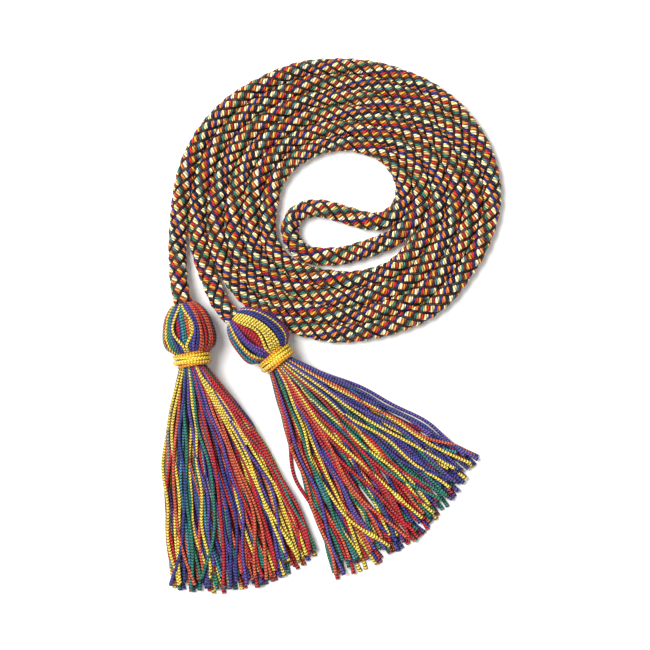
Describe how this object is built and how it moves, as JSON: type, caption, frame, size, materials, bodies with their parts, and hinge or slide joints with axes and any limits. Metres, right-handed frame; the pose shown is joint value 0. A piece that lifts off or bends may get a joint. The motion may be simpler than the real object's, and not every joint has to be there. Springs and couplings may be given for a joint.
{
  "type": "honor cord",
  "caption": "Round braided cord doubled and laid as a flat double spiral, with a tied thread tassel on each end.",
  "frame": {"origin": "bottom centre of the whole cord's box as it lies on a surface", "axes": "+Z up from the surface, +Y from the tassels' free ends towards the far side of the coil, +X to the right seen from above with +Y upwards"},
  "size_m": [0.1246, 0.1969, 0.015],
  "materials": {
    "braid": "multicolour braided rayon, soft sheen",
    "tassel_thread": "knitted rayon threads, soft sheen",
    "tie_thread": "wound golden thread, satin sheen"
  },
  "bodies": {
    "root": {"cord": "braid", "tassel_left": "tassel_thread", "tassel_right": "tassel_thread", "tie_left": "tie_thread", "tie_right": "tie_thread"}
  },
  "joints": []
}
